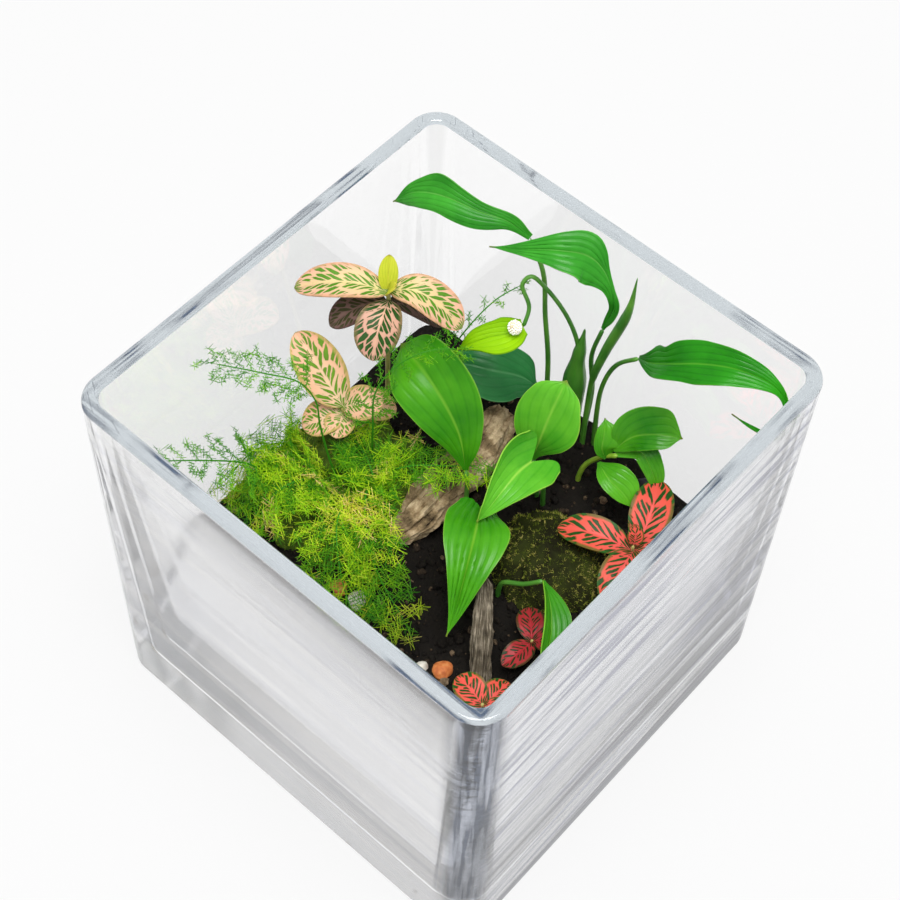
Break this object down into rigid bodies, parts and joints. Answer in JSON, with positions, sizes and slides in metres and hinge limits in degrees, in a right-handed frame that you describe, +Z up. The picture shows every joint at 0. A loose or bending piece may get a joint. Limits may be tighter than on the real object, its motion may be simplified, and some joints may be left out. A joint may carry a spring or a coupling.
{
  "type": "planted glass terrarium",
  "caption": "Thick clear glass cube vase planted with a peace lily, nerve plants, feathery fern, creeper, moss, driftwood and pebbles over dark soil and drainage gravel.",
  "frame": {"origin": "centre of the vase's flat underside", "axes": "+Z up out of the vase's mouth; +X and +Y square to the vase's side walls, with the peace lily's crown towards +Y and the fern towards -X"},
  "size_m": [0.2, 0.2, 0.2141],
  "materials": {
    "clear_glass": "polished",
    "gravel": "matte",
    "soil": "matte",
    "green_moss": "matte",
    "olive_moss": "matte",
    "old_wood": "matte",
    "grey_wood": "matte",
    "lily_green": "satin",
    "lime_spathe": "satin",
    "white_spadix": "matte",
    "round_leaf_green": "satin",
    "pink_nerve_leaf": "satin",
    "red_nerve_leaf": "satin",
    "fern_green": "matte",
    "orange_pebble": "matte",
    "white_pebble": "matte",
    "black_stone": "satin"
  },
  "bodies": {
    "root": {"glass_vase": "clear_glass", "drainage_gravel": "gravel", "lily_leaf_back": "lily_green", "lily_leaf_top": "lily_green", "lily_spear_leaf": "lily_green", "lily_leaf_right": "lily_green", "lily_leaf_shade": "lily_green", "lily_leaf_front": "lily_green", "lily_leaf_broad": "lily_green", "lily_leaf_long": "lily_green", "lily_leaf_low": "lily_green", "lily_leaf_heart": "lily_green", "lily_bloom": "lime_spathe", "lily_spadix": "white_spadix", "creeper_round_leaves": "round_leaf_green", "nerve_plant_pink_tall": "pink_nerve_leaf", "nerve_plant_pink_low": "pink_nerve_leaf", "nerve_plant_red_right": "red_nerve_leaf", "nerve_plant_red_middle": "red_nerve_leaf", "nerve_plant_red_front": "red_nerve_leaf", "pebble_orange_left": "orange_pebble", "pebble_orange_front": "orange_pebble", "pebble_white_left": "white_pebble", "pebble_white_middle": "white_pebble", "pebble_white_front": "white_pebble", "pebble_white_right": "white_pebble", "stone_black_back": "black_stone", "stone_black_right": "black_stone", "stone_black_corner": "black_stone", "stone_black_front": "black_stone", "fern_frond_arch": "fern_green", "fern_frond_left": "fern_green", "fern_frond_top": "fern_green", "fern_frond_back": "fern_green", "fern_spray_left": "fern_green", "fern_spray_crest": "fern_green", "fern_spray_near": "fern_green", "fern_spray_middle": "fern_green", "fern_spray_right": "fern_green", "soil": "soil", "moss_green": "green_moss", "moss_olive": "olive_moss", "driftwood_log": "old_wood", "driftwood_stick": "grey_wood"}
  },
  "joints": []
}
